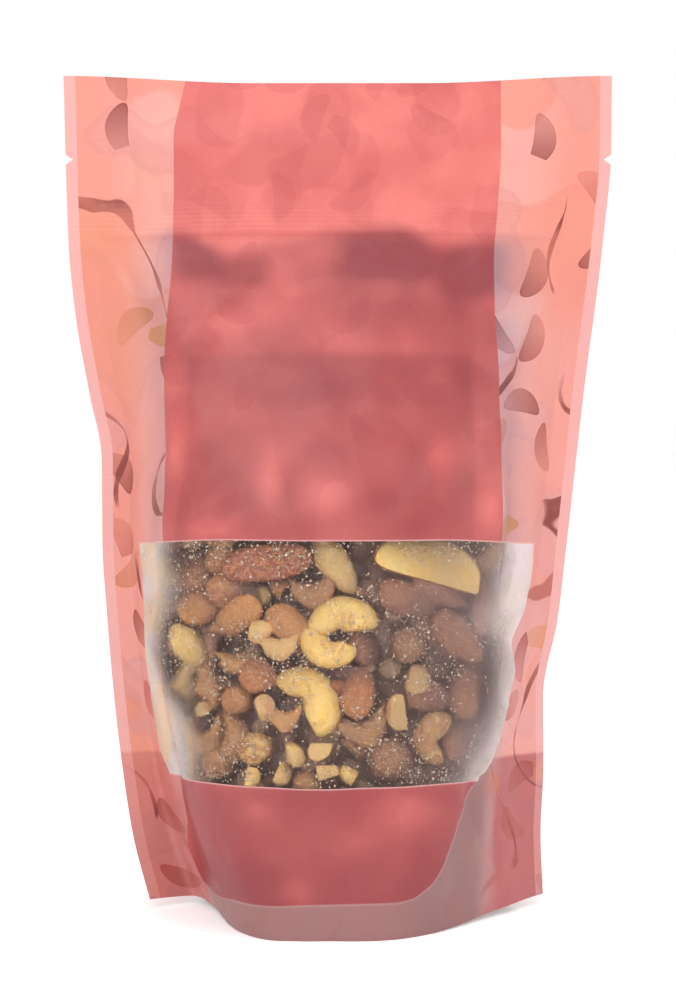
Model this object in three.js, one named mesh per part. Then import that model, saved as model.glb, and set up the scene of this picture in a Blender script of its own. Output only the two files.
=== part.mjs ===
// A stand-up pouch of mixed nuts, filled and shut, standing on its opened bottom gusset.
// Millimetres, +Z up, the front towards -Y, the origin under the middle of the bounding box.
//
// A place on a panel is given as on the empty, flat pouch: `across` from the middle of the
// panel, right positive, and `up` from its bottom edge. The filled form is a stack of
// sections, one for each height `up`, whose corners follow the profiles below.

import * as THREE from "three";
import { mergeVertices } from "three/addons/utils/BufferGeometryUtils.js";

// The flat pouch
const pouchWidth = 178;
const pouchHeight = 273;
const sideSeal = 8;
const topSeal = 10;
const filmThickness = 0.5; // both film layers of a panel, kept thick enough to be solid
const notchHeight = 247.5; // the tear notches in both side seals
const notchDepth = 2.5;
const notchWidth = 4;
const cornerRadius = 4; // rounded bottom corners of the side seals
const zipBottom = 223.5; // the press-to-close strip across both panels
const zipTop = 232;
const zipRelief = 0.8;
const zipStep = 1.5; // height over which the strip rises from the panel

// The bottom gusset
const gussetFold = 50; // height of its fold at the side seals
const skirtSeal = 8; // height of the bottom seal at the middle of a panel
const sealCurve = 2.6; // how late the bottom seal turns up towards the side seals
const floorHalfWidth = 22; // the gusset lies flat this far out from the middle
const floorSag = 3; // how hard the nuts press the gusset down; it stops at the ground

// Profiles up the pouch: [up, value]
const leftSeam = [[0, -61.2], [25, -66.8], [50, -70.4], [75, -73.2], [100, -75.2], [125, -76.6],
  [152, -76.6], [175, -80.6], [200, -84.8], [222, -86.8], [273, -88]];
const rightSeam = [[0, 67.3], [25, 66.4], [50, 67.2], [75, 67], [100, 71.6], [125, 74.4],
  [175, 79.6], [222, 85.3], [252, 87.8], [273, 87.8]];
const leftSeamDepth = [[0, 7.5], [25, 5], [50, 2], [90, 0], [273, 0]];
const leftWing = [[0, 17.7], [50, 12.9], [100, 9.7], [175, 9.4], [273, 8.6]]; // flat beside the seam
const rightWing = [[0, 10.3], [50, 11.7], [100, 9.6], [175, 9.1], [273, 8.6]];
const leftWingDepth = [[0, -2], [50, 1], [90, 2], [150, 1.5], [200, 0], [273, 0]];
const rightWingDepth = [[0, 10.4], [25, 11.5], [50, 11.5], [75, 9.5], [100, 5], [150, 2], [200, 0], [273, 0]];
const leftShoulder = [[0, -29], [25, -36], [50, -43], [75, -47], [125, -50.5], [200, -55], [273, -57]];
const rightShoulder = [[0, 22.5], [25, 29], [50, 37], [75, 43], [125, 49], [200, 55], [273, 57]];
const bellyDepth = [[0, 46.6], [25, 49.5], [50, 49.5], [75, 47.5], [100, 45], [125, 41.5], [152, 34.5],
  [175, 27], [200, 16.5], [222, 4], [236, 2.2], [252, 3.2], [263, 0.5], [273, 0]];
const shoulderShare = [[0, 0.985], [25, 0.91], [50, 0.84], [125, 0.8], [152, 0.76], [200, 0.64], [273, 0.6]];
const middleHeight = [[0, 0], [50, 49.6], [125, 124], [190, 187.3], [222, 218], [273, 267]];
const seamHeight = [[0, 3.2], [25, 24], [50, 45.5], [125, 119.5], [200, 193.5], [273, 269.3]];

// The back panel bulges less than the front, with its corners further apart
const backDepth = 0.76;
const backSpread = [[0, 1.3], [50, 1.14], [125, 1.06], [200, 1], [273, 1]];
const backTurn = 5; // the back leaves the line of the right seam this far in from the seal
const backWingDepth = [[0, 3], [60, 3], [200, 0], [273, 0]];

// Nuts pressing on the film, and the soft creases of the filled film
const nutSpacing = 17;
const nutJitter = 0.6; // how far a lump may lie off its place, as a share of the spacing
const nutRadius = 7;
const nutRelief = 1.5;
const lumpFoot = [4, 20]; // the lumps come up between these heights,
const lumpTop = [184, 214]; // end between these,
const lumpSides = [48, 66]; // and fade out towards the sides
const creaseFade = 0.3; // share of a crease's length that each of its ends takes
const creaseLimit = 0.25; // no deeper than this share of the belly
const sealFade = 8; // relief starts this gently beside a side seal
const levelMiddle = 28; // a section lies level this far out from its middle
const creases = [
  // from [across, up] to [across, up], half width, depth inwards
  { from: [62, 190], to: [58, 75], width: 6, depth: 2.6 },
  { from: [-64, 215], to: [-60, 120], width: 6, depth: 1.6 },
  { from: [-70, 95], to: [-52, 5], width: 5, depth: 1.6 },
  { from: [54, 62], to: [38, 4], width: 6, depth: 1.4 },
  { from: [-30, 232], to: [-48, 176], width: 8, depth: 1.2 },
  { from: [36, 226], to: [50, 180], width: 8, depth: 1.2 },
];

// Mesh resolution
const panelColumns = 40;
const sealColumns = 2;
const footRows = [0, 2, 6, 12, 19, 27, 35, 42]; // close together where the pouch stands
const bodyRows = 24;
const bodyTop = 218;
const gussetRows = 8;
const skirtRows = 5;

const halfWidth = pouchWidth / 2;
const sealEdge = halfWidth - sideSeal;

// ---- curves ---------------------------------------------------------------------------------

// A smooth curve through the points of a profile that adds no bumps between them.
function profile(points) {
  const last = points.length - 1;
  const run = (i) => points[i + 1][0] - points[i][0];
  const rise = (i) => (points[i + 1][1] - points[i][1]) / run(i);
  const slope = points.map((_, i) => {
    if (i === 0) return rise(0);
    if (i === last) return rise(last - 1);
    const before = rise(i - 1);
    const after = rise(i);
    if (before * after <= 0) return 0;
    const weight = [2 * run(i) + run(i - 1), run(i) + 2 * run(i - 1)];
    return (weight[0] + weight[1]) / (weight[0] / before + weight[1] / after);
  });
  return (at) => {
    const x = THREE.MathUtils.clamp(at, points[0][0], points[last][0]);
    let i = 0;
    while (i < last - 1 && points[i + 1][0] < x) i += 1;
    const h = run(i);
    const u = (x - points[i][0]) / h;
    const start = (1 + 2 * u) * (1 - u) ** 2 * points[i][1] + u * (1 - u) ** 2 * h * slope[i];
    const end = u * u * (3 - 2 * u) * points[i + 1][1] + u * u * (u - 1) * h * slope[i + 1];
    return start + end;
  };
}

const follow = Object.fromEntries(Object.entries({
  leftSeam, rightSeam, leftSeamDepth, leftWing, rightWing, leftWingDepth, rightWingDepth,
  leftShoulder, rightShoulder, bellyDepth, shoulderShare, middleHeight, seamHeight,
  backSpread, backWingDepth,
}).map(([name, points]) => [name, profile(points)]));

// Corners of a section in plan: seam, then wing, shoulder and middle, and back to the other seam.
function sectionCorners(up) {
  const leftTip = new THREE.Vector2(follow.leftSeam(up), -follow.leftSeamDepth(up));
  const rightTip = new THREE.Vector2(follow.rightSeam(up), 0);
  const leftWingEnd = new THREE.Vector2(leftTip.x + follow.leftWing(up), -follow.leftWingDepth(up));
  const rightWingEnd = new THREE.Vector2(rightTip.x - follow.rightWing(up), -follow.rightWingDepth(up));
  // both panels share the seal strip, which points at the front wing
  const leftSealEnd = leftWingEnd.clone().sub(leftTip).setLength(sideSeal).add(leftTip);
  const rightSealEnd = rightWingEnd.clone().sub(rightTip).setLength(sideSeal).add(rightTip);
  const depth = follow.bellyDepth(up);
  const shoulderDepth = depth * follow.shoulderShare(up);
  const [left, right] = [follow.leftShoulder(up), follow.rightShoulder(up)];
  const middle = (left + right) / 2;
  const at = (x, y) => new THREE.Vector2(x, y);
  const front = [leftSealEnd, leftWingEnd, at(left, -shoulderDepth), at(middle, -depth),
    at(right, -shoulderDepth), rightWingEnd, rightSealEnd];
  const spread = (x) => middle + (x - middle) * follow.backSpread(up);
  const rightTurn = rightSealEnd.clone().lerp(rightTip, -backTurn / sideSeal);
  const back = [leftSealEnd, at(leftWingEnd.x, follow.backWingDepth(up)),
    at(spread(left), shoulderDepth * backDepth), at(middle, depth * backDepth),
    at(spread(right), shoulderDepth * backDepth), rightTurn, rightSealEnd];
  return { leftTip, rightTip, inner: { front, back } };
}

// The section between its seal strips, with each corner rounded.
function sectionPath(corners) {
  const path = new THREE.Path().moveTo(corners[0].x, corners[0].y);
  for (let i = 1; i < corners.length - 1; i += 1) {
    const enter = corners[i].clone().lerp(corners[i - 1], 0.5);
    const leave = corners[i].clone().lerp(corners[i + 1], 0.5);
    path.lineTo(enter.x, enter.y).quadraticCurveTo(corners[i].x, corners[i].y, leave.x, leave.y);
  }
  const end = corners[corners.length - 1];
  return path.lineTo(end.x, end.y);
}

// ---- relief ---------------------------------------------------------------------------------

const { smoothstep } = THREE.MathUtils;

function scatter(i, j, salt) {
  const value = Math.sin(i * 12.9898 + j * 78.233 + salt * 37.719) * 43758.5453;
  return value - Math.floor(value);
}

// Rounded lumps where nuts press on the film: one for each cell of a loosely laid grid.
function nutLumps(across, up, side) {
  const column = Math.floor(across / nutSpacing);
  const row = Math.floor(up / nutSpacing);
  let height = 0;
  for (let i = column - 1; i <= column + 1; i += 1) {
    for (let j = row - 1; j <= row + 1; j += 1) {
      const x = (i + 0.5 + nutJitter * (scatter(i, j, side) - 0.5)) * nutSpacing;
      const y = (j + 0.5 + nutJitter * (scatter(i, j, side + 1) - 0.5)) * nutSpacing;
      const distance = Math.hypot(across - x, up - y) / nutRadius;
      height += (0.5 + scatter(i, j, side + 2)) * Math.exp(-0.5 * distance * distance);
    }
  }
  const filled = smoothstep(up, ...lumpFoot) * (1 - smoothstep(up, ...lumpTop));
  return nutRelief * height * filled * (1 - smoothstep(Math.abs(across), ...lumpSides));
}

function creaseDepth(across, up) {
  let depth = 0;
  for (const crease of creases) {
    const [x0, y0] = crease.from;
    const [x1, y1] = crease.to;
    const length = Math.hypot(x1 - x0, y1 - y0);
    const along = ((across - x0) * (x1 - x0) + (up - y0) * (y1 - y0)) / length;
    const aside = ((across - x0) * (y1 - y0) - (up - y0) * (x1 - x0)) / length;
    const end = length * creaseFade;
    const fade = smoothstep(along, 0, end) * smoothstep(length - along, 0, end);
    depth += crease.depth * fade * Math.exp(-((aside / crease.width) ** 2));
  }
  return depth;
}

function zipRidge(up) {
  const rise = smoothstep(up, zipBottom - zipStep, zipBottom);
  const fall = smoothstep(up, zipTop, zipTop + zipStep);
  return zipRelief * (rise - fall);
}

// ---- panels ---------------------------------------------------------------------------------

// Height of a flat place: the seams and the middle of a panel sag differently.
function heightOf(across, up) {
  const outward = smoothstep(Math.abs(across), levelMiddle, halfWidth);
  return THREE.MathUtils.lerp(follow.middleHeight(up), follow.seamHeight(up), outward);
}

// One section, for a list of places across: the inner and the outer face of both panels.
function section(up, places) {
  const { leftTip, rightTip, inner } = sectionCorners(up);
  const faces = { front: [], back: [], frontInside: [], backInside: [] };
  for (const [panel, outwards, salt] of [["front", 1, 0], ["back", -1, 5]]) {
    const path = sectionPath(inner[panel]);
    const leftEnd = inner[panel][0];
    const rightEnd = inner[panel][inner[panel].length - 1];
    for (const across of places) {
      const isSeal = Math.abs(across) >= sealEdge;
      const [sealEnd, tip] = across < 0 ? [leftEnd, leftTip] : [rightEnd, rightTip];
      const beyond = (Math.abs(across) - sealEdge) / sideSeal;
      const along = (across + sealEdge) / (2 * sealEdge);
      const point = isSeal ? sealEnd.clone().lerp(tip, beyond) : path.getPoint(along);
      const run = isSeal ? tip.clone().sub(sealEnd).setLength(Math.sign(across)) : path.getTangent(along);
      const normal = new THREE.Vector2(run.y, -run.x).multiplyScalar(outwards);
      const unsealed = smoothstep(sealEdge - Math.abs(across), 0, sealFade);
      const deepest = creaseLimit * follow.bellyDepth(up);
      const crease = panel === "front" ? Math.min(creaseDepth(across, up), deepest) : 0;
      const relief = (zipRidge(up) + nutLumps(across, up, salt) - crease) * unsealed;
      const place = (proud) => new THREE.Vector3(
        point.x + normal.x * proud, point.y + normal.y * proud, heightOf(across, up));
      faces[panel].push(place(relief + filmThickness));
      faces[`${panel}Inside`].push(place(relief));
    }
  }
  return faces;
}

// Half the width of the film at a height: less in the tear notches and at the bottom corners.
function filmEdge(up) {
  const notch = notchDepth * Math.max(0, 1 - Math.abs(up - notchHeight) / (notchWidth / 2));
  const rise = Math.max(0, 1 - up / cornerRadius);
  return halfWidth - notch - cornerRadius * (1 - Math.sqrt(1 - rise * rise));
}

function placesAcross(up) {
  const edge = filmEdge(up);
  const evenly = (from, to, steps) => {
    return Array.from({ length: steps }, (_, i) => THREE.MathUtils.lerp(from, to, i / steps));
  };
  return [...evenly(-edge, -sealEdge, sealColumns), ...evenly(-sealEdge, sealEdge, panelColumns),
    ...evenly(sealEdge, edge, sealColumns), edge];
}

// Heights of the mesh rows: even over the filled body, and on every edge of the header.
function rowHeights() {
  const rows = [...footRows];
  for (let i = 0; i <= bodyRows; i += 1) rows.push(gussetFold + ((bodyTop - gussetFold) * i) / bodyRows);
  rows.push(zipBottom - zipStep, zipBottom, zipTop, zipTop + zipStep);
  rows.push((zipTop + zipStep + notchHeight) / 2);
  rows.push(notchHeight - notchWidth / 2, notchHeight, notchHeight + notchWidth / 2);
  const sealStart = pouchHeight - topSeal;
  rows.push((notchHeight + sealStart) / 2, sealStart, sealStart + topSeal / 2, pouchHeight);
  return rows;
}

// ---- the closed skin ------------------------------------------------------------------------

// Height at which the gusset leaves a panel: low at the middle, up to the fold at the seals.
function bottomSealHeight(across) {
  const share = Math.min(1, Math.abs(across) / sealEdge);
  return skirtSeal + (gussetFold - skirtSeal) * share ** sealCurve;
}

// A column of the underside, from the inside of the front skirt over the gusset to the back.
function undersideColumn(across) {
  const seal = bottomSealHeight(across);
  const isSeam = Math.abs(across) >= sealEdge;
  const inside = (up) => {
    const faces = section(up, [across]);
    return [faces.frontInside[0], faces.backInside[0]];
  };
  const walls = Array.from({ length: skirtRows + 1 }, (_, k) => inside((seal * k) / skirtRows));
  const column = walls.map(([front]) => front);
  const [frontSeal, backSeal] = walls[skirtRows];
  const outward = smoothstep(Math.abs(across), floorHalfWidth, sealEdge);
  const crown = THREE.MathUtils.lerp(-seal - floorSag, gussetFold - seal, outward);
  for (let i = 1; i < gussetRows; i += 1) {
    const share = i / gussetRows;
    const point = frontSeal.clone().lerp(backSeal, share);
    if (!isSeam) point.z = Math.max(0, point.z + crown * (1 - (2 * share - 1) ** 2));
    column.push(point);
  }
  return column.concat(walls.map(([, back]) => back).reverse());
}

function pouchSkin() {
  const corners = [];
  const triangle = (a, b, c) => corners.push(a, b, c);
  const quad = (a, b, c, d) => {
    triangle(a, b, c);
    triangle(a, c, d);
  };
  const sheet = (rows, flip) => {
    for (let j = 0; j + 1 < rows.length; j += 1) {
      for (let i = 0; i + 1 < rows[j].length; i += 1) {
        const cell = [rows[j][i], rows[j][i + 1], rows[j + 1][i + 1], rows[j + 1][i]];
        if (flip) cell.reverse();
        quad(...cell);
      }
    }
  };
  const heights = rowHeights();
  const sections = heights.map((up) => section(up, placesAcross(up)));
  const front = sections.map((rows) => rows.front);
  const back = sections.map((rows) => rows.back);
  const right = front[0].length - 1;
  const top = heights.length - 1;

  sheet(front, false);
  sheet(back, true);
  for (let j = 0; j < top; j += 1) {
    quad(front[j][0], front[j + 1][0], back[j + 1][0], back[j][0]);
    quad(front[j][right], back[j][right], back[j + 1][right], front[j + 1][right]);
  }
  for (let i = 0; i < right; i += 1) {
    quad(front[top][i], front[top][i + 1], back[top][i + 1], back[top][i]);
  }

  // underside: gusset and skirts between the side seals, then the ends of the seals themselves
  const first = sealColumns;
  const last = right - sealColumns;
  const underside = [];
  for (let i = first; i <= last; i += 1) {
    underside.push([front[0][i], ...undersideColumn(placesAcross(0)[i]), back[0][i]]);
  }
  sheet(underside, false);
  const sealEnd = (columns, seamPoint, mirrored) => {
    const face = (...points) => (mirrored ? triangle(...points.reverse()) : triangle(...points));
    let inner = seamPoint;
    for (let k = 0; k + 1 < columns.length; k += 1) {
      const [here, next] = [columns[k], columns[k + 1]];
      const isTip = k + 2 === columns.length;
      const middle = isTip ? null : front[0][next].clone().lerp(back[0][next], 0.5);
      if (isTip) {
        face(inner, front[0][here], front[0][next]);
        face(inner, front[0][next], back[0][next]);
        face(inner, back[0][next], back[0][here]);
      } else {
        face(inner, front[0][here], front[0][next]);
        face(inner, front[0][next], middle);
        face(inner, middle, back[0][next]);
        face(inner, back[0][next], back[0][here]);
      }
      inner = middle;
    }
  };
  const leftColumns = Array.from({ length: sealColumns + 1 }, (_, i) => first - i);
  const rightColumns = leftColumns.map((i) => right - i);
  sealEnd(leftColumns, underside[0][1], false);
  sealEnd(rightColumns, underside[underside.length - 1][1], true);
  return corners;
}

// Joins the corners into one closed geometry, without the triangles that have closed up.
function closedGeometry(corners) {
  const flat = new THREE.BufferGeometry().setFromPoints(corners);
  const merged = mergeVertices(flat, 1e-3);
  const index = merged.getIndex().array;
  const kept = [];
  for (let i = 0; i < index.length; i += 3) {
    const [a, b, c] = index.slice(i, i + 3);
    if (a !== b && b !== c && c !== a) kept.push(a, b, c);
  }
  merged.setIndex(kept);
  return merged;
}

function pouch() {
  const geometry = closedGeometry(pouchSkin());
  geometry.computeBoundingBox();
  const middle = geometry.boundingBox.getCenter(new THREE.Vector3());
  geometry.translate(-middle.x, -middle.y, -geometry.boundingBox.min.z);
  geometry.computeVertexNormals();
  const film = new THREE.MeshStandardMaterial({ color: 0xe0766f, roughness: 0.42, metalness: 0 });
  const mesh = new THREE.Mesh(geometry, film);
  mesh.name = "pouch";
  return mesh;
}

const mixedNutsPouch = new THREE.Group();
mixedNutsPouch.add(pouch());

export default mixedNutsPouch;
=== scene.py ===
# A filled stand-up pouch of mixed nuts: printed film with a clear window, on its opened gusset.
# The film is worked out in millimetres from the flat pouch: "across" runs from the middle of a
# panel to its side seals and "up" from its bottom edge. Everything is placed in metres at the end.
import itertools
import math

import bpy
import numpy as np
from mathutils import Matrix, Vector, kdtree


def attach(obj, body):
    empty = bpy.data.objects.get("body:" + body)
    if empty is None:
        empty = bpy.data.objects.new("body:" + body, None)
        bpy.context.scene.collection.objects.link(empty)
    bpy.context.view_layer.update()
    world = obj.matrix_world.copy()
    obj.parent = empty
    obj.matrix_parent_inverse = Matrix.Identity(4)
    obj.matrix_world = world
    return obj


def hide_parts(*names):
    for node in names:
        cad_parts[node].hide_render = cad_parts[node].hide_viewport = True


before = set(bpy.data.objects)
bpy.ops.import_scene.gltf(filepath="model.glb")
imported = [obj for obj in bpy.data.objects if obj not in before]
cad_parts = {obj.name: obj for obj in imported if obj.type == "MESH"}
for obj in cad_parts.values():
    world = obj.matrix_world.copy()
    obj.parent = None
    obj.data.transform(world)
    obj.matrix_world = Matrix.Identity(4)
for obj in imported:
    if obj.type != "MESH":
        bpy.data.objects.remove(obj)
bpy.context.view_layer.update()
rng = np.random.default_rng(7)
mm = 0.001
print("frame loaded")

pouch = {
    "width": 178, "height": 273, "sideSeal": 8,
    "film": 0.14,  # how far the outer face of a panel stands off the seam
    "notchAt": 247.5, "notchDepth": 2.3, "notchWidth": 3, "cornerRadius": 4,
    "zip": (223.5, 232), "zipRelief": 0.8, "zipStep": 1.5,
    "gussetFold": 50, "skirtSeal": 8, "sealCurve": 2.6, "floorHalfWidth": 22, "floorSag": 3,
    # profiles up the pouch: (up, value)
    "leftSeam": [(0, -61.2), (25, -66.8), (50, -70.4), (75, -73.2), (100, -75.2), (125, -76.6),
                 (152, -76.6), (175, -80.6), (200, -84.8), (222, -86.8), (273, -88)],
    "rightSeam": [(0, 67.3), (25, 66.4), (50, 67.2), (75, 67), (100, 71.6), (125, 74.4),
                  (175, 79.6), (222, 85.3), (252, 87.8), (273, 87.8)],
    "leftSeamDepth": [(0, 7.5), (25, 5), (50, 2), (90, 0), (273, 0)],
    "leftWing": [(0, 17.7), (50, 12.9), (100, 9.7), (175, 9.4), (273, 8.6)],
    "rightWing": [(0, 10.3), (50, 11.7), (100, 9.6), (175, 9.1), (273, 8.6)],
    "leftWingDepth": [(0, -2), (50, 1), (90, 2), (150, 1.5), (200, 0), (273, 0)],
    "rightWingDepth": [(0, 10.4), (25, 11.5), (50, 11.5), (75, 9.5), (100, 5), (150, 2), (200, 0),
                       (273, 0)],
    "leftShoulder": [(0, -29), (25, -36), (50, -43), (75, -47), (125, -50.5), (200, -55),
                     (273, -57)],
    "rightShoulder": [(0, 22.5), (25, 29), (50, 37), (75, 43), (125, 49), (200, 55), (273, 57)],
    "belly": [(0, 46.6), (25, 49.5), (50, 49.5), (75, 47.5), (100, 45), (125, 41.5), (152, 34.5),
              (175, 27), (200, 16.5), (222, 4), (236, 2.2), (252, 3.2), (263, 0.5), (273, 0)],
    "shoulderShare": [(0, 0.985), (25, 0.91), (50, 0.84), (125, 0.8), (152, 0.76), (200, 0.64),
                      (273, 0.6)],
    "middleHeight": [(0, 0), (50, 49.6), (125, 124), (190, 187.3), (222, 218), (273, 267)],
    "seamHeight": [(0, 3.2), (25, 24), (50, 45.5), (125, 119.5), (200, 193.5), (273, 269.3)],
    "backDepth": 0.76, "backTurn": 5,
    "backSpread": [(0, 1.3), (50, 1.14), (125, 1.06), (200, 1), (273, 1)],
    "backWingDepth": [(0, 3), (60, 3), (200, 0), (273, 0)],
    "levelMiddle": 28, "sealFade": 8,
}

filmRelief = {
    "lumpSpacing": 17, "lumpJitter": 0.6, "lumpRadius": 7, "lumpHeight": 1.5,
    "lumpFoot": (4, 20), "lumpTop": (184, 214), "lumpSides": (48, 66),
    "creaseFade": 0.3, "creaseLimit": 0.25,
    # from (across, up) to (across, up), half width, depth inwards
    "creases": [((62, 190), (58, 75), 6, 2.6), ((-64, 215), (-60, 120), 6, 1.6),
                ((-70, 95), (-52, 5), 5, 1.6), ((54, 62), (38, 4), 6, 1.4),
                ((-30, 232), (-48, 176), 8, 1.2), ((36, 226), (50, 180), 8, 1.2)],
    # fine creases that only the film shows
    "fineCreases": [((66, 150), (56, 96), 2.2, 0.9), ((70, 132), (60, 70), 1.8, 0.8),
                    ((-68, 170), (-56, 148), 2.4, 0.7), ((-70, 140), (-58, 160), 2.2, 0.6),
                    ((-62, 60), (-46, 16), 2.0, 0.9), ((44, 50), (58, 18), 2.2, 0.7),
                    ((-20, 214), (-52, 190), 3.0, 0.7), ((14, 216), (48, 196), 3.2, 0.7),
                    ((-6, 212), (6, 190), 3.5, 0.5), ((72, 210), (60, 176), 2.4, 0.7),
                    ((-74, 222), (-62, 190), 2.6, 0.6), ((58, 216), (66, 232), 2.4, 0.4),
                    ((-73, 26), (-62, 0), 1.5, 1.3), ((65, 52), (66, 8), 1.6, 0.9)],
    "puckerHeight": 0.22, "puckerSize": 9,
    # a sharp fold down the right of the window, with its height and half width
    "fold": [(64, 120), (61.5, 108), (58.5, 99), (66, 91), (70.5, 83), (68.5, 72), (62.5, 62),
             (56.5, 54), (50, 47)], "foldHeight": 0.9, "foldWidth": 1.0,
}

halfWidth = pouch["width"] / 2
sealEdge = halfWidth - pouch["sideSeal"]


def profile(points):
    # a smooth curve through the points that adds no bumps between them
    x, y = np.array(points, float).T
    run = np.diff(x)
    rise = np.diff(y) / run
    slope = np.zeros(len(x))
    slope[0], slope[-1] = rise[0], rise[-1]
    for i in range(1, len(x) - 1):
        before, after = rise[i - 1], rise[i]
        if before * after > 0:
            first, second = 2 * run[i] + run[i - 1], run[i] + 2 * run[i - 1]
            slope[i] = (first + second) / (first / before + second / after)

    def at(value):
        value = np.clip(value, x[0], x[-1])
        i = np.clip(np.searchsorted(x, value) - 1, 0, len(x) - 2)
        u = (value - x[i]) / run[i]
        start = (1 + 2 * u) * (1 - u) ** 2 * y[i] + u * (1 - u) ** 2 * run[i] * slope[i]
        end = u * u * (3 - 2 * u) * y[i + 1] + u * u * (u - 1) * run[i] * slope[i + 1]
        return start + end
    return at


follow = {name: profile(points) for name, points in pouch.items() if isinstance(points, list)}


def smoothstep(low, high, value):
    share = np.clip((np.asarray(value, float) - low) / (high - low), 0, 1)
    return share * share * (3 - 2 * share)


def sectionCorners(up, panel):
    # corners of a section in plan, between the side seals, and its two tips
    at = {name: float(curve(up)) for name, curve in follow.items()}
    leftTip = np.array([at["leftSeam"], -at["leftSeamDepth"]])
    rightTip = np.array([at["rightSeam"], 0.0])
    leftWing = np.array([leftTip[0] + at["leftWing"], -at["leftWingDepth"]])
    rightWing = np.array([rightTip[0] - at["rightWing"], -at["rightWingDepth"]])
    inwards = [(wing - tip) / np.linalg.norm(wing - tip)
               for wing, tip in ((leftWing, leftTip), (rightWing, rightTip))]
    leftEnd = leftTip + inwards[0] * pouch["sideSeal"]
    rightEnd = rightTip + inwards[1] * pouch["sideSeal"]
    left, right, depth = at["leftShoulder"], at["rightShoulder"], at["belly"]
    middle, shoulder = (left + right) / 2, depth * at["shoulderShare"]
    if panel == "front":
        inner = [leftEnd, leftWing, (left, -shoulder), (middle, -depth), (right, -shoulder),
                 rightWing, rightEnd]
    else:
        share, spread = pouch["backDepth"], at["backSpread"]
        inner = [leftEnd, (leftWing[0], at["backWingDepth"]),
                 (middle + (left - middle) * spread, shoulder * share), (middle, depth * share),
                 (middle + (right - middle) * spread, shoulder * share),
                 rightEnd + inwards[1] * pouch["backTurn"], rightEnd]
    return leftTip, rightTip, [np.array(point, float) for point in inner]


def sectionLine(up, panel):
    # the section as a dense line with rounded corners, and the distance along it
    leftTip, rightTip, corners = sectionCorners(up, panel)
    line = [corners[0]]
    steps = np.linspace(0, 1, 16)[:, None]
    for i in range(1, len(corners) - 1):
        enter = (corners[i] + corners[i - 1]) / 2
        leave = (corners[i] + corners[i + 1]) / 2
        line.extend(enter * (1 - steps) ** 2 + 2 * corners[i] * steps * (1 - steps)
                    + leave * steps ** 2)
    line.append(corners[-1])
    line = np.array(line)
    keep = np.concatenate([[True], np.linalg.norm(np.diff(line, axis=0), axis=1) > 1e-6])
    line = line[keep]
    distance = np.concatenate([[0], np.cumsum(np.linalg.norm(np.diff(line, axis=0), axis=1))])
    return leftTip, rightTip, line, distance


def scatter(i, j, salt):
    value = np.sin(i * 12.9898 + j * 78.233 + salt * 37.719) * 43758.5453
    return value - np.floor(value)


def nutLumps(across, up, side):
    # rounded lumps where nuts press on the film
    r = filmRelief
    column, row = np.floor(across / r["lumpSpacing"]), np.floor(up / r["lumpSpacing"])
    height = np.zeros_like(across)
    for di in (-1, 0, 1):
        for dj in (-1, 0, 1):
            i, j = column + di, row + dj
            x = (i + 0.5 + r["lumpJitter"] * (scatter(i, j, side) - 0.5)) * r["lumpSpacing"]
            y = (j + 0.5 + r["lumpJitter"] * (scatter(i, j, side + 1) - 0.5)) * r["lumpSpacing"]
            distance = np.hypot(across - x, up - y) / r["lumpRadius"]
            height += (0.5 + scatter(i, j, side + 2)) * np.exp(-0.5 * distance ** 2)
    filled = smoothstep(*r["lumpFoot"], up) * (1 - smoothstep(*r["lumpTop"], up))
    return r["lumpHeight"] * height * filled * (1 - smoothstep(*r["lumpSides"], np.abs(across)))


def creaseDepth(across, up, creases):
    depth = np.zeros_like(across)
    for (x0, y0), (x1, y1), width, deep in creases:
        length = math.hypot(x1 - x0, y1 - y0)
        along = ((across - x0) * (x1 - x0) + (up - y0) * (y1 - y0)) / length
        aside = ((across - x0) * (y1 - y0) - (up - y0) * (x1 - x0)) / length
        end = length * filmRelief["creaseFade"]
        fade = smoothstep(0, end, along) * smoothstep(0, end, length - along)
        depth += deep * fade * np.exp(-(aside / width) ** 2)
    return depth


def lineDistance(across, up, line):
    nearest = np.full(np.shape(across), 1e9)
    for (x0, y0), (x1, y1) in zip(line, line[1:]):
        run, rise = x1 - x0, y1 - y0
        share = ((across - x0) * run + (up - y0) * rise) / (run * run + rise * rise)
        share = np.clip(share, 0, 1)
        nearest = np.minimum(nearest, np.hypot(across - x0 - share * run, up - y0 - share * rise))
    return nearest


def zipRidge(up):
    (bottom, top), step = pouch["zip"], pouch["zipStep"]
    return pouch["zipRelief"] * (smoothstep(bottom - step, bottom, up)
                                 - smoothstep(top, top + step, up))


def valueNoise(points, size, seed=0):
    # smooth random values from -1 to 1 that change over about one size
    points = np.asarray(points, float) / size
    cell = np.floor(points).astype(np.int64)
    share = points - cell
    share = share * share * (3 - 2 * share)
    total = np.zeros(len(points))
    for corner in itertools.product((0, 1), repeat=points.shape[1]):
        key = np.full(len(points), seed * 7919 + 17, np.int64)
        for axis in range(points.shape[1]):
            key = ((key + cell[:, axis] + corner[axis]) * 1274126177) & 0xFFFFFFFF
            key = key ^ (key >> 15)
        weight = np.prod(np.where(np.array(corner) == 1, share, 1 - share), axis=1)
        total += key / 0xFFFFFFFF * weight
    return 2 * total - 1


def pucker(across, up, seed):
    # the fine unevenness of filled film
    flat = np.stack([across, up * 0.7], 1)
    size, height = filmRelief["puckerSize"], filmRelief["puckerHeight"]
    return height * (valueNoise(flat, size, seed) + 0.5 * valueNoise(flat, size * 0.4, seed + 1))


def heightOf(across, up):
    outward = smoothstep(pouch["levelMiddle"], halfWidth, np.abs(across))
    return (1 - outward) * follow["middleHeight"](up) + outward * follow["seamHeight"](up)


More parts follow.
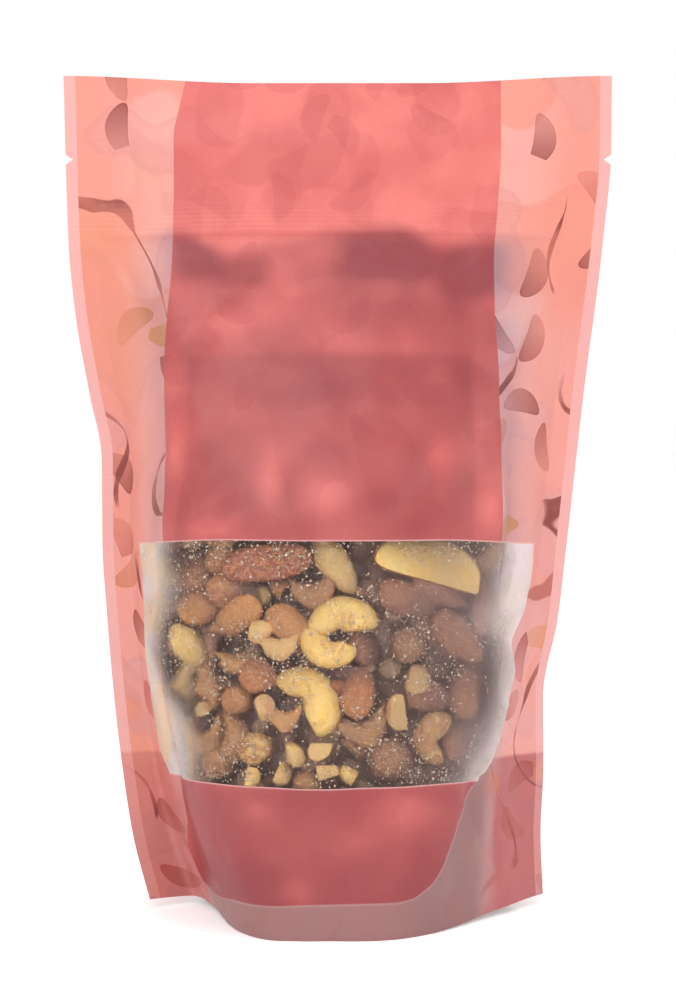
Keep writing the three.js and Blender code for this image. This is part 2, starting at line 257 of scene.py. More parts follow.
def panelRow(across, up, panel, inset=0.0, fine=True):
    # points and outward plan normals of one row of a panel; inset moves it inwards
    isFront = panel == "front"
    level = np.full_like(across, up)
    leftTip, rightTip, line, distance = sectionLine(up, panel)

    def lineAt(along):
        along = np.clip(along, 0, distance[-1])
        return np.stack([np.interp(along, distance, line[:, k]) for k in (0, 1)], 1)

    along = np.clip((across + sealEdge) / (2 * sealEdge), 0, 1) * distance[-1]
    nearby = 0.4
    plan, run = lineAt(along), lineAt(along + nearby) - lineAt(along - nearby)
    for tip, end, side in ((leftTip, line[0], -1), (rightTip, line[-1], 1)):
        isHere = across * side >= sealEdge
        beyond = (np.abs(across[isHere, None]) - sealEdge) / pouch["sideSeal"]
        plan[isHere] = end + (tip - end) * beyond
        run[isHere] = (tip - end) * side
    run /= np.linalg.norm(run, axis=1)[:, None]
    normal = np.stack([run[:, 1], -run[:, 0]], 1) * (1 if isFront else -1)
    unsealed = smoothstep(0, pouch["sealFade"], sealEdge - np.abs(across))
    relief = zipRidge(level) + nutLumps(across, level, 0 if isFront else 5)
    depth = follow["belly"](up)
    if isFront:
        relief -= np.minimum(creaseDepth(across, level, filmRelief["creases"]),
                             filmRelief["creaseLimit"] * depth)
    if fine:
        loose = smoothstep(0, 6, depth)
        relief += loose * pucker(across, level, 1 if isFront else 40)
    if fine and isFront:
        relief -= loose * creaseDepth(across, level, filmRelief["fineCreases"])
        off = lineDistance(across, level, filmRelief["fold"]) / filmRelief["foldWidth"]
        relief += filmRelief["foldHeight"] * np.exp(-off * off)
    # the gusset lies inside the panels, also in the seals
    proud = (relief - inset) * unsealed + pouch["film"] * (0.5 if inset else 1)
    return np.column_stack([plan + normal * proud[:, None], heightOf(across, level)]), normal


def filmEdge(up):
    # half the width of the film: less in the tear notches and at the bottom corners
    notch = pouch["notchDepth"] * max(0, 1 - abs(up - pouch["notchAt"]) * 2 / pouch["notchWidth"])
    rise = max(0, 1 - up / pouch["cornerRadius"])
    return halfWidth - notch - pouch["cornerRadius"] * (1 - math.sqrt(1 - rise * rise))


# the seam plane of the CAD pouch gives the place of everything here
cadPoints = np.array([tuple(v.co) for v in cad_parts["pouch"].data.vertices]) / mm
cadTop = cadPoints[cadPoints[:, 2] > cadPoints[:, 2].max() - 1.5]
seamMiddle = (follow["leftSeam"](pouch["height"]) + follow["rightSeam"](pouch["height"])) / 2
placeShift = np.array([(cadTop[:, 0].min() + cadTop[:, 0].max()) / 2 - seamMiddle,
                       (cadTop[:, 1].min() + cadTop[:, 1].max()) / 2, 0.0])
print("seam found at", placeShift.round(2))


def makePiece(name, points, faces, attributes, material):
    # a piece of the pouch from points in millimetres; attributes are numbers for each point
    mesh = bpy.data.meshes.new(name)
    mesh.from_pydata(((np.asarray(points) + placeShift) * mm).tolist(), [], faces)
    for key, values in attributes.items():
        values = np.asarray(values, np.float32)
        kind, field = ("FLOAT", "value") if values.ndim == 1 else ("FLOAT_VECTOR", "vector")
        mesh.attributes.new(key, kind, "POINT").data.foreach_set(field, values.ravel())
    mesh.validate()
    mesh.polygons.foreach_set("use_smooth", [True] * len(mesh.polygons))
    mesh.update()
    mesh.materials.append(material)
    piece = bpy.data.objects.new(name, mesh)
    bpy.context.scene.collection.objects.link(piece)
    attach(piece, "root")
    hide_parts("pouch")


def gridFaces(rows, columns, flip=False):
    j, i = np.meshgrid(np.arange(rows - 1), np.arange(columns - 1), indexing="ij")
    corner = (j * columns + i).ravel()
    faces = np.stack([corner, corner + 1, corner + columns + 1, corner + columns], 1)
    return (faces[:, ::-1] if flip else faces).tolist()


def rgb(red, green, blue):
    # a colour as seen on a screen, 0 to 255, as the shader takes it
    linear = [((c / 255 + 0.055) / 1.055) ** 2.4 if c > 10 else c / 255 / 12.92
              for c in (red, green, blue)]
    return (*linear, 1.0)


def operator(operation):
    # a method of Wire for one operation with another wire, a number or a vector
    return lambda wire, other: wire.work(operation, wire, other)


class Wire:
    # a node's output; sums, products and mixes of wires add the nodes that work them out
    def __init__(self, tree, output=None):
        self.tree, self.output = tree, output

    def node(self, kind, settings=None, values=None, out=0):
        # any node: its settings first, then the values or links of its sockets
        node = self.tree.nodes.new(kind)
        for key, value in (settings or {}).items():
            if key == "stops":
                stops = node.color_ramp.elements
                while len(stops) < len(value):
                    stops.new(0.5)
                for stop, (place, colour) in zip(stops, value):
                    stop.position, stop.color = place, colour
            else:
                setattr(node, key, value)
        for key, value in (values or {}).items():
            if isinstance(value, Wire):
                self.tree.links.new(value.output, node.inputs[key])
            else:
                node.inputs[key].default_value = value
        return Wire(self.tree, node.outputs[out])

    def work(self, operation, *sides):
        wires = [side for side in sides if isinstance(side, Wire)]
        if not any(wire.output.type in ("VECTOR", "RGBA") for wire in wires):
            return self.node("ShaderNodeMath", {"operation": operation}, dict(enumerate(sides)))
        sides = [side if isinstance(side, (Wire, tuple)) else (side,) * 3 for side in sides]
        return self.node("ShaderNodeVectorMath", {"operation": operation}, dict(enumerate(sides)))

    __add__ = __radd__ = operator("ADD")
    __mul__ = __rmul__ = operator("MULTIPLY")
    __sub__, power = operator("SUBTRACT"), operator("POWER")
    least, most, bounce = operator("MINIMUM"), operator("MAXIMUM"), operator("PINGPONG")

    def __rsub__(self, other):
        return self.work("SUBTRACT", other, self)

    def size(self):
        return self.work("ABSOLUTE", self)

    def step(self, low, high, start=0.0, end=1.0):
        # a soft step from start at low to end at high
        return self.node("ShaderNodeMapRange", {"interpolation_type": "SMOOTHSTEP"},
                         {"Value": self, "From Min": low, "From Max": high,
                          "To Min": start, "To Max": end})

    def between(self, low, high, soft):
        # 1 from low to high, 0 outside
        return self.step(low - soft, low) * self.step(high + soft, high)

    def mix(self, dry, wet):
        # from colour dry where this mask is 0 to colour wet where it is 1
        return self.node("ShaderNodeMix", {"data_type": "RGBA"}, {0: self, 6: dry, 7: wet}, 2)

    def part(self, axis):
        return self.node("ShaderNodeSeparateXYZ", None, {0: self}, axis)

    def grain(self, size, detail=2.0, out="Fac"):
        # soft noise whose patches are about size across
        return self.node("ShaderNodeTexNoise", None,
                         {"Vector": self, "Scale": 1 / size, "Detail": detail}, out)


def makeMaterial(name, specular, roughness, constants=None):
    # a material, the start of its wires and its principled shader
    material = bpy.data.materials.new(name)
    material.use_nodes = True
    shader = material.node_tree.nodes["Principled BSDF"]
    constants = {"Specular IOR Level": specular, "Roughness": roughness, **(constants or {})}
    for key, value in constants.items():
        shader.inputs[key].default_value = value
    return material, Wire(material.node_tree), shader


def feed(shader, **wires):
    for key, wire in wires.items():
        wire.tree.links.new(wire.output, shader.inputs[key.replace("_", " ")])


def attribute(start, name, out="Fac"):
    return start.node("ShaderNodeAttribute", {"attribute_name": name}, None, out)


def bump(height, distance, strength=1.0, under=None):
    # distance in millimetres for a height of 1
    values = {"Height": height, "Distance": distance * mm, "Strength": strength}
    if under:
        values["Normal"] = under
    return height.node("ShaderNodeBump", None, values)


# filled, coralShade and gussetShade, and the belt colour, are painted shade where the filled pouch
# and the gusset show through the film
printColours = {
    "edge": rgb(252, 180, 174), "pink": rgb(253, 184, 172), "salmon": rgb(248, 148, 128),
    "orange": rgb(244, 150, 118), "lilac": rgb(226, 158, 158), "filled": (0.42, 0.6, 0.8, 1.0),
    "coral": rgb(234, 116, 110), "coralPale": rgb(248, 132, 124), "coralDeep": rgb(208, 92, 92),
    "white": (1.0, 1.0, 1.0, 1.0),
    "coralShade": rgb(156, 60, 66), "gussetShade": rgb(184, 86, 89),
    "brown": rgb(142, 50, 42), "rust": rgb(184, 80, 66), "ochre": rgb(228, 150, 84),
    "mauve": rgb(182, 96, 96),
    "underside": rgb(168, 112, 110), "line": rgb(250, 205, 202), "beltShade": rgb(154, 105, 104),
}

washes = {
    "cloudSize": 52.0, "cloudEdge": 0.02, "dabCell": 21.0, "dabLength": 8.5, "dabWidth": 3.8,
    "strokeSpacing": 34.0, "strokeWidth": 1.3, "edgeStrip": 85.3, "lineWidth": 0.45,
    "zip": pouch["zip"], "topSeal": 259.4, "gussetLine": 55.5,
}


def printedFilm(name, isBack=False):
    # watercolour-like washes in pinks round a coral field; the filled part is darkened with painted
    # see-through shade
    w, c = washes, printColours
    material, start, shader = makeMaterial(name, 0.45, 0.42)
    flat = attribute(start, "flat", "Vector")
    inCoral, shade, low = (attribute(start, key) for key in ("coral", "shade", "low"))
    across, up = flat.part(0), flat.part(1)
    aside = across.size()

    wobble = (flat.grain(15.0, 2.0, "Color") - 0.5) * 5.0
    cloud = (flat + wobble).grain(w["cloudSize"], 1.0)
    cloudTwo = (flat * (1.0, 0.75, 1.0) + wobble + 140.0).grain(w["cloudSize"] * 0.8, 1.0)
    cloudThree = (flat + wobble * 0.6 + 310.0).grain(w["cloudSize"] * 0.55, 1.0)
    soft = flat.grain(20.0, 3.0)

    def wash(value, level):
        return value.step(level, level + w["cloudEdge"])

    pink = soft.step(0.35, 0.65).mix(c["pink"], c["edge"])
    pink = (aside.step(60.0, 78.0) * 0.65).mix(pink, c["salmon"])
    outer = cloudTwo.step(0.5, 0.72, 0.2, 0.9) * aside.step(58.0, 74.0, 0.4, 1.0)
    rims = 0.0
    for value, level, strength, colour in ((cloud, 0.5, 0.6, "salmon"),
                                           (cloudTwo, 0.56, outer, "orange"),
                                           (cloudThree, 0.57, 0.45, "lilac")):
        pink = (wash(value, level) * strength).mix(pink, c[colour])
        # pigment gathers at the edge of a wash
        rims += value.step(level, level + 0.008) * value.step(level + 0.05, level + 0.01)
    pink = (rims * 0.1).mix(pink, c["mauve"])

    # dabs: an oval in some cells of a Voronoi pattern, each with its own turn, size and colour
    source = flat + wobble * 0.12 + flat.part(2)
    lucky, centre = (start.node("ShaderNodeTexVoronoi", {"voronoi_dimensions": "2D"}, {
        "Vector": source, "Scale": 1 / w["dabCell"], "Randomness": 0.75}, out)
        for out in ("Color", "Position"))
    angle, chance, tone = (start.node("ShaderNodeSeparateColor", None, {0: lucky}, k)
                           for k in range(3))
    turned = start.node("ShaderNodeVectorRotate", {"rotation_type": "Z_AXIS"},
                        {"Vector": source - centre, "Angle": angle * 6.283})
    along = turned.part(0)
    bent = turned.part(1) + along.power(2.0) * 0.04
    reach = (1.0 - (along * (1 / w["dabLength"])).power(2.0)
             - (bent * (1 / w["dabWidth"])).power(2.0) - chance.step(0.71, 0.72) * 5.0)
    dab = reach.step(0.0, 0.08)
    dabColour = tone.node("ShaderNodeValToRGB", {"stops": [
        (0.0, c["brown"]), (0.35, c["rust"]), (0.6, c["ochre"]), (1.0, c["coralDeep"])]},
        {0: tone})
    dabRim = reach.step(0.0, 0.05) * reach.step(0.25, 0.1)
    dabFade = along.step(-w["dabLength"], w["dabLength"], 0.45, 1.0)
    wing = aside.step(52.0, 68.0)
    plain = 1.0 - low * (1.0 - wing) * 0.9
    dabStrength = dab * dabFade * (0.82 + dabRim * 0.18) * plain

    # thin wavy strokes across the bands
    beat = (across * 0.93 + up * 0.3 + (flat.grain(38.0, 0.0) - 0.5) * 70.0).bounce(
        w["strokeSpacing"] / 2)
    strokeWidth = w["strokeWidth"] * flat.grain(12.0, 1.0).step(0.3, 0.7, 0.25, 1.4)
    stroke = (strokeWidth - beat).step(-0.15, 0.25) * cloudTwo.step(0.44, 0.47) * plain
    strokeColour = soft.step(0.4, 0.6).mix(c["brown"], c["rust"])

    tall = up.step(185.0, 210.0)
    strip = aside.step(w["edgeStrip"] - 0.15, w["edgeStrip"] + 0.15)
    for strength, colour in ((tall * 0.3, c["salmon"]),
                             ((1.0 - tall) * across.step(-80.0, -62.0, 0.08, 0.35), c["edge"]),
                             # painted shade below the gusset line, where the gusset shows through:
                             # darker on the wings, greyer between them, and stronger towards the
                             # right to offset how the light falls
                             (low * wing * across.step(-70.0, 70.0, 0.5, 0.85), c["gussetShade"]),
                             (low * (1.0 - wing) * across.step(5.0, 45.0, 0.85, 0.93), c["beltShade"]),
                             (dabStrength * 0.96, dabColour),
                             (stroke * soft.step(0.3, 0.6, 0.95, 0.7), strokeColour),
                             (strip * (1.0 - low * 0.6), c["edge"])):
        pink = strength.mix(pink, colour)
    # painted see-through shade: the pinks are tinted darker and bluer where the filled pouch shows
    # through
    pink = (shade * (1.0 - low * 0.85)).mix(c["white"], c["filled"]) * pink

    coral = soft.step(0.35, 0.7).mix(c["coral"], c["coralPale"])
    coral = (wash(cloud, 0.53) * 0.3 + wash(cloudThree, 0.55) * 0.22).mix(coral, c["coralDeep"])
    coral = (dab * 0.28 + wash(cloudTwo, 0.52) * 0.3).mix(coral, c["coralDeep"])
    coral = shade.mix(coral, c["coralShade"])

    colour = inCoral.step(-0.12, 0.12).mix(pink, coral)
    line = inCoral.between(-w["lineWidth"], w["lineWidth"] * 0.2, 0.2)
    colour = (line * up.step(60.0, 50.0) * 0.14).mix(colour, c["line"])
    if not isBack:
        rimLine = attribute(start, "rim").step(w["lineWidth"] + 0.2, w["lineWidth"] * 0.4)
        colour = (rimLine * 0.5).mix(colour, c["line"])
    colour = flat.grain(0.9).step(0.3, 0.7, 0.74, 0.77) * colour

    zipLines = up.bounce(0.75) * up.between(*w["zip"], 0.4)
    sealGrain = (up.between(w["topSeal"], 273.0, 0.2) + aside.step(81.0, 81.4)).least(1.0)
    height = (flat.grain(5.0, 3.0) * 0.5 + flat.grain(1.6) * 0.12 + zipLines * 0.25
              + sealGrain * (across + up).bounce(0.5) * 0.06)
    feed(shader, Base_Color=colour, Normal=bump(height, 0.35),
         Roughness=soft.step(0.3, 0.7, 0.36, 0.48) + dab * 0.04)
    return material


def windowBacking(name):
    # the inner ply of the window: clear, but blurs what lies further behind it
    return makeMaterial(name, 0.2, 0.42, {"Base Color": (1, 1, 1, 1), "Transmission Weight": 1.0,
                                          "IOR": 1.3, "Alpha": 0.66})[0]


def windowFilm(name):
    # clear film with a veil of painted haze, the milky light and shade of frosted film where it
    # stands off the nuts, thick in the folds at its sides; the specks are dust
    material, start, shader = makeMaterial(name, 0.5, 0.3)
    flat = attribute(start, "flat", "Vector")
    veil = attribute(start, "veil")
    across = flat.part(0)
    smear = flat.grain(14.0, 4.0)
    warm = (flat + 70.0).grain(16.0).step(0.4, 0.62)
    leftColour = warm.mix(rgb(199, 185, 183), rgb(214, 184, 156))
    rightColour = warm.mix(rgb(218, 196, 196), rgb(210, 192, 184))
    colour = across.step(-10.0, 30.0).mix(leftColour, rightColour)
    colour = veil.step(0.1, 0.55).mix(rgb(146, 118, 113), colour)
    crowd = flat.grain(11.0).step(0.35, 0.65, 0.05, 0.0)
    specks = (flat.grain(0.75, 0.0) - crowd).step(0.7, 0.76)
    colour = specks.mix(colour, rgb(232, 214, 196))
    alpha = (veil * smear.step(0.25, 0.75, 0.85, 1.15)).most(specks * 0.3).least(0.95)
    fine = flat.grain(6.0, 3.0) * 0.6 + flat.grain(1.6) * 0.1
    feed(shader, Base_Color=colour, Alpha=alpha, Normal=bump(fine, 0.4),
         Roughness=smear.step(0.3, 0.7, 0.24, 0.4))
    return material


film = {
    "heightMarks": [0, 4, 48.6, 124.2, 222, 234, 245, 250, 269, 273],
    "heightSteps": [0.7, 1.3, 1.25, 1.3, 0.55, 1.3, 0.5, 1.3, 0.7],
    "columns": (20, 114, 22),  # left of the window, across it, right of it
    # edges of the window: (up, across)
    "windowBottom": 48.6, "windowTop": 124.2,
    "windowLeft": [(0, -66), (40, -66), (49, -68.5), (59, -73.5), (86, -73.5), (114, -71.5),
                   (125, -72.5), (273, -74)],
    "windowRight": [(0, 68), (40, 60), (49, 51), (52, 57), (59, 62.5), (69, 66.5), (79, 72.5),
                    (83, 73.5), (93, 67), (104, 73), (116, 75.5), (125, 75), (273, 76)],
    # outline of the coral field above and below the window: (across, up)
    "upperCoral": [(-53.5, 118), (-58, 157), (-57, 186), (-55, 206), (-54, 225), (-53.5, 257),
                   (-49.5, 273), (-49, 280), (53, 280), (53, 118)],
    "lowerCoral": [(-61.5, 56), (-61.5, 38), (-62, 32), (-68.5, 21), (-67.5, 15), (-62, 9),
                   (-52, 8), (-31, 11), (0, 12), (22, 12), (27, 13), (33, 17.5), (37, 23),
                   (39.5, 29), (42.5, 36), (50, 48), (56, 56)],
    # the label on the back shows through as a darker field
    "label": [(-49, 118), (-48, 183), (44, 183), (42, 118)],
    "backCoral": [(-54, 12), (-54, 280), (54, 280), (54, 12)],
    # darker where the nuts show through the print: (across, up, half width, half height, depth)
    "shadows": [(-46, 216, 9, 8, 0.6), (-30, 210, 8, 5, 0.35), (18, 216, 16, 8, 0.6),
                (46, 212, 11, 10, 0.55), (25, 204, 24, 10, 0.35), (-4, 176, 44, 9, 0.12),
                (30, 152, 12, 12, 0.12), (46, 176, 9, 26, 0.15), (-20, 14, 36, 12, 0.15),
                (34, 22, 12, 14, 0.12)],
    # brighter where a nut touches the print
    "glows": [(23, 40, 8, 6, 0.36), (12, 33, 6, 4, 0.14), (-8.5, 16, 5, 5, 0.36),
              (-20.5, 41, 4, 3, 0.18), (-20, 142, 4, 9, 0.5), (-4, 140, 7, 6, 0.4),
              (32, 148, 5, 10, 0.35), (49, 134, 6, 8, 0.6), (-30, 194, 14, 5, 0.3),
              (10, 186, 20, 4, 0.2), (-53, 150, 4, 30, 0.2), (-40, 128, 14, 4, 0.3)],
    "fillHeight": 223, "fillWave": 5,
    # where the veil in the window's folds is half dense: (up, across)
    "leftVeil": [(49, -45), (58, -45), (66, -47), (73, -53), (81, -58), (90, -62), (98, -58),
                 (106, -54), (116, -53), (125, -53)],
    "veil": {"least": 0.06, "most": 0.86, "soft": (-13, 12), "right": 0.1, "fold": (0.78, 10)},
}


def rowHeights():
    marks, steps = film["heightMarks"], film["heightSteps"]
    rows = [np.arange(0, round((b - a) / s)) / round((b - a) / s) * (b - a) + a
            for a, b, s in zip(marks, marks[1:], steps)]
    return np.append(np.concatenate(rows), marks[-1])


def polygonDistance(across, up, outline):
    # distance to an outline, positive inside
    closed = outline + outline[:1]
    inside = np.zeros(across.shape, bool)
    for (x0, y0), (x1, y1) in zip(closed, closed[1:]):
        if y0 != y1:
            inside ^= ((y0 > up) != (y1 > up)) & (
                across < (x1 - x0) * (up - y0) / (y1 - y0) + x0)
    nearest = lineDistance(across, up, closed)
    return np.where(inside, nearest, -nearest)


def bottomSealHeight(across):
    share = np.minimum(1, np.abs(across) / sealEdge)
    return pouch["skirtSeal"] + (pouch["gussetFold"] - pouch["skirtSeal"]) * share ** pouch[
        "sealCurve"]


def shadeOf(across, up, salt):
    # painted see-through shade: how dark the filled pouch shows through the print, 0 to 1
    flat = np.stack([across, up], 1)
    top = film["fillHeight"] + film["fillWave"] * valueNoise(flat[:, :1], 18, 3 + salt)
    filled = 1 - smoothstep(top - 5, top + 2, up)
    mottle = 0.17 * valueNoise(flat, 17, 5 + salt) + 0.1 * valueNoise(flat, 8, 6 + salt)
    label = polygonDistance(across, up, film["label"]) if salt == 0 else np.full_like(up, -9)
    low = 1 - smoothstep(46, 52, up)
    shade = 0.5 + mottle * (1 - 0.55 * low) + 0.15 * smoothstep(-0.9, 0.9, label) + 0.3 * low
    for x, y, wide, high, depth in film["shadows"] if salt == 0 else []:
        shade += depth * np.exp(-((across - x) / wide) ** 4 - ((up - y) / high) ** 4)
    for x, y, wide, high, glow in film["glows"] if salt == 0 else []:
        shade -= glow * np.exp(-((across - x) / wide) ** 2 - ((up - y) / high) ** 2)
    sides = 1 - 0.85 * smoothstep(56, 74, np.abs(across))
    return np.clip(shade, 0, 1) * filled * sides


def panelPoints(panel, acrossAt):
    # the points of a panel row by row, with their plan normals and their flat places
    points, normals, flat = [], [], []
    for up in rowHeights():
        across = acrossAt(up)
        row, normal = panelRow(across, up, panel)
        points.append(row)
        normals.append(normal)
        flat.append(np.stack([across, np.full_like(across, up)], 1))
    return [np.concatenate(part) for part in (points, normals, flat)]


def printPlaces(flat, coral, salt):
    # what the printed film's material reads at each point
    across, up = flat.T
    return {
        "flat": np.column_stack([flat, np.full(len(flat), 2.0 * salt)]), "coral": coral,
        "shade": shadeOf(across, up, salt),
        "low": 1 - smoothstep(-0.3, 0.3, up - washes["gussetLine"]),
    }


def frontPanel():
    left, right = profile(film["windowLeft"]), profile(film["windowRight"])
    low, high = film["windowBottom"], film["windowTop"]
    knots = np.cumsum((0,) + film["columns"])
    width = knots[-1] + 1

    def acrossAt(up):
        edge = filmEdge(up)
        return np.interp(np.arange(width), knots, [-edge, left(up), right(up), edge])

    points, normals, flat = panelPoints("front", acrossAt)
    across, up = flat.T
    coral = np.where(up > (low + high) / 2, polygonDistance(across, up, film["upperCoral"]),
                     polygonDistance(across, up, film["lowerCoral"]))
    attributes = printPlaces(flat, coral, 0)
    attributes["rim"] = np.maximum(np.minimum(abs(up - low), abs(up - high)),
                                   np.maximum(across - right(up), left(up) - across))
    # the veil is painted haze, thick in the folds, where the film lies away from the nuts
    v = film["veil"]
    ragged = 2.5 * valueNoise(flat, 12, 22)
    leftFold = smoothstep(*v["soft"], profile(film["leftVeil"])(up) - across + ragged)
    beyond = across - profile([(y, x) for x, y in reversed(filmRelief["fold"])])(up)
    dense, reach = v["fold"]
    before = dense * np.exp(np.minimum(beyond + 0.6 * ragged, 0) / reach)
    rightFold = before + (1 - before) * smoothstep(-0.4, 0.8, beyond)
    attributes["veil"] = np.clip(
        v["least"] + v["most"] * np.maximum(leftFold, rightFold)
        + 0.04 * valueNoise(flat, 11, 21) + v["right"] * smoothstep(0, 50, across), 0.02, 0.95)
    faces = np.array(gridFaces(len(flat) // width, width))
    first, column = up[faces[:, 0]], faces[:, 0] % width
    inWindow = ((first >= low - 1e-6) & (first < high - 1e-6)
                & (column >= knots[1]) & (column < knots[2]))
    return points, normals, faces, inWindow, attributes, flat


frontPoints, frontNormals, frontFaces, inWindow, frontAttributes, frontFlat = frontPanel()
flatNormals = np.column_stack([frontNormals, np.zeros(len(frontNormals))])


def filmPiece(name, points, faces, attributes, keys, material):
    # a piece with only the points that its faces use
    used, index = np.unique(faces, return_inverse=True)
    makePiece(name, points[used], index.reshape(faces.shape).tolist(),
              {key: attributes[key][used] for key in keys}, material)


plyGap = 0.06
filmPiece("front_film", frontPoints, frontFaces[~inWindow], frontAttributes,
          ("flat", "coral", "shade", "low", "rim"), printedFilm("frontPrint"))
filmPiece("window_film", frontPoints, frontFaces[inWindow], frontAttributes,
          ("flat", "veil"), windowFilm("windowFilm"))
filmPiece("window_inner_ply", frontPoints - plyGap * flatNormals, frontFaces[inWindow],
          frontAttributes, ("flat",), windowBacking("windowBacking"))
print("front film made")


def backPanel():
    width = 133
    points, _, flat = panelPoints(
        "back", lambda up: np.linspace(-filmEdge(up), filmEdge(up), width))
    attributes = printPlaces(flat, polygonDistance(*flat.T, film["backCoral"]), 30)
    faces = np.array(gridFaces(len(flat) // width, width, flip=True))
    filmPiece("back_film", points, faces, attributes, tuple(attributes),
              printedFilm("backPrint", isBack=True))


backPanel()
print("back film made")


def gussetFilm(name):
    # the printed film folded in under the pouch
    c = printColours
    material, start, shader = makeMaterial(name, 0.4, 0.45)
    flat = attribute(start, "flat", "Vector")
    soft = flat.grain(18.0, 3.0)
    cloud = (flat + (flat.grain(8.0, 3.0, "Color") - 0.5) * 5.0).grain(26.0, 1.0)
    colour = soft.step(0.35, 0.65).mix(c["underside"], c["lilac"])
    colour = (cloud.step(0.52, 0.54) * 0.4).mix(colour, c["mauve"])
    fine = flat.grain(5.0, 3.0) * 0.5 + flat.grain(1.4) * 0.12
    feed(shader, Base_Color=colour, Normal=bump(fine, 0.4), Roughness=soft.step(0.3, 0.7, 0.4, 0.5))
    return material


def gusset():
    # columns over the underside, from the front panel's inside to the back panel's
    places = np.concatenate([np.linspace(-halfWidth, -sealEdge, 6)[:-1],
                             np.linspace(-sealEdge, sealEdge, 96),
                             np.linspace(sealEdge, halfWidth, 6)[1:]])
    skirtRows, archRows, inset, lowest = 16, 40, 0.5, 0.05
    fold, sag, seals = pouch["gussetFold"], pouch["floorSag"], bottomSealHeight(places)
    crown = -seals - sag + (fold + sag) * smoothstep(pouch["floorHalfWidth"], sealEdge,
                                                     np.abs(places))
    crown = np.where(np.abs(places) >= sealEdge, 0, crown)
    points, flat = [], []
    for x, seal, rise in zip(places, seals, crown):
        front, back = ([panelRow(np.array([x]), seal * k / skirtRows, panel, inset)[0][0]
                        for k in range(skirtRows + 1)] for panel in ("front", "back"))
        column = list(front)
        for share in np.arange(1, archRows) / archRows:
            point = front[-1] * (1 - share) + back[-1] * share
            point[2] = max(lowest, point[2] + rise * (1 - (2 * share - 1) ** 2))
            column.append(point)
        column += reversed(back)
        points += column
        flat += [(x, 40 + 2.2 * k, 90) for k in range(len(column))]
    makePiece("gusset_film", points, gridFaces(len(places), len(column)), {"flat": flat},
              gussetFilm("gussetPrint"))


gusset()
print("gusset made")


filmTree = kdtree.KDTree(len(frontPoints))
for index, point in enumerate(frontPoints):
    filmTree.insert(point, index)
filmTree.balance()
# outward normals of the front film, with the slope of the panel up and down
panelUp = np.gradient(frontPoints.reshape(-1, sum(film["columns"]) + 1, 3), axis=0).reshape(-1, 3)
panelAcross = flatNormals[:, [1, 0, 2]] * (-1, 1, 1)
filmNormals = np.cross(panelAcross, panelUp)
filmNormals /= np.linalg.norm(filmNormals, axis=1)[:, None]


def depthBehind(points):
    # how far points lie behind the front film, less than 0 in front of it
    nearest = [filmTree.find(point)[1] for point in points]
    return ((frontPoints[nearest] - points) * filmNormals[nearest]).sum(1)


def placeOnFilm(across, up):
    # the point of the front film at a flat place, with its axes across, up and outwards
    index = np.argmin((frontFlat[:, 0] - across) ** 2 + (frontFlat[:, 1] - up) ** 2)
    outwards, sideways = filmNormals[index], panelAcross[index]
    return frontPoints[index], np.stack([sideways, np.cross(outwards, sideways), outwards], 1)


# a nut is a closed form of rings round its long side, x; z faces the film
rings, around = 22, 22
share = (np.arange(1, rings) / rings)[:, None]
turns = (np.arange(around) * 2 * math.pi / around)[None, :]
swell = np.sin(math.pi * share)
lengthwise = -np.cos(math.pi * share)


def closedForm(along, wide, thick):
    # points of a closed form from the position along it and its half width and thickness
    along = np.broadcast_to(along, (rings - 1, around))
    return np.stack([along, wide * np.cos(turns), thick * np.sin(turns)], 2).reshape(-1, 3)


def closedFaces(rows, around):
    # faces of rows of points round an axis, between one point before them and one after
    last = 1 + (rows - 1) * around
    pairs = [(k, (k + 1) % around) for k in range(around)]
    return ([(0, 1 + after, 1 + k) for k, after in pairs]
            + [(row + k, row + after, row + around + after, row + around + k)
               for row in range(1, last, around) for k, after in pairs]
            + [(last + k, last + after, last + around) for k, after in pairs])


def withTips(body, start, end):
    # points of a form between its two end points
    return np.concatenate([[start], body, [end]])


def cashewForm(draw):
    # a thick bent kernel, blunt at one end
    radius, reach = 5.9 + draw.normal(0, 0.3), math.radians(100 + draw.normal(0, 8))
    thick = 5.5 * swell ** 0.42 * (1 + 0.18 * lengthwise + 0.1 * np.cos(2 * math.pi * share))
    angle = reach * lengthwise
    out = radius + thick * np.cos(turns) * 0.95
    body = np.stack([out * np.sin(angle), out * np.cos(angle) - radius * 0.35,
                     thick * np.sin(turns) * 0.82 + 0 * angle], 2).reshape(-1, 3)
    tips = [(radius * math.sin(s * reach), radius * math.cos(s * reach) - radius * 0.35, 0)
            for s in (-1, 1)]
    return withTips(body, *tips)


def almondForm(draw):
    # a flat drop with a point, finely ridged along its length
    taper = 1 - 0.24 * lengthwise
    edge = swell ** (0.85 + 0.35 * (lengthwise > 0) * lengthwise)
    wide = 6.5 * edge * taper * (1 + 0.012 * np.cos(turns * 14 + draw.uniform(0, 6)))
    thick = 4.2 * edge * taper * (1 + 0.03 * np.cos(turns * 11 + draw.uniform(0, 6)))
    return withTips(closedForm(12 * lengthwise, wide, thick), (-12, 0, 0), (12.4, 0, 0))


def hazelnutForm(draw):
    # nearly round, with a small point
    body = closedForm(6.6 * lengthwise, 6.5 * swell ** 0.9 * (1 - 0.08 * lengthwise),
                      6.3 * swell ** 0.9 * (1 - 0.08 * lengthwise))
    return withTips(body, (-6.4, 0, 0), (7.4, 0, 0))


def largeForm(draw):
    # long and three-sided, slightly bent
    section = 1 + 0.17 * np.cos(3 * turns) + 0.03 * np.cos(6 * turns)
    wide = 6.9 * swell ** 0.75 * section
    body = closedForm(15.5 * lengthwise, wide, 6.2 * swell ** 0.75 * section)
    body[:, 1] += 3.0 * (1 - (body[:, 0] / 15.5) ** 2) - 1.5
    return withTips(body, (-15.5, -1.5, 0), (15.5, -1.5, 0))


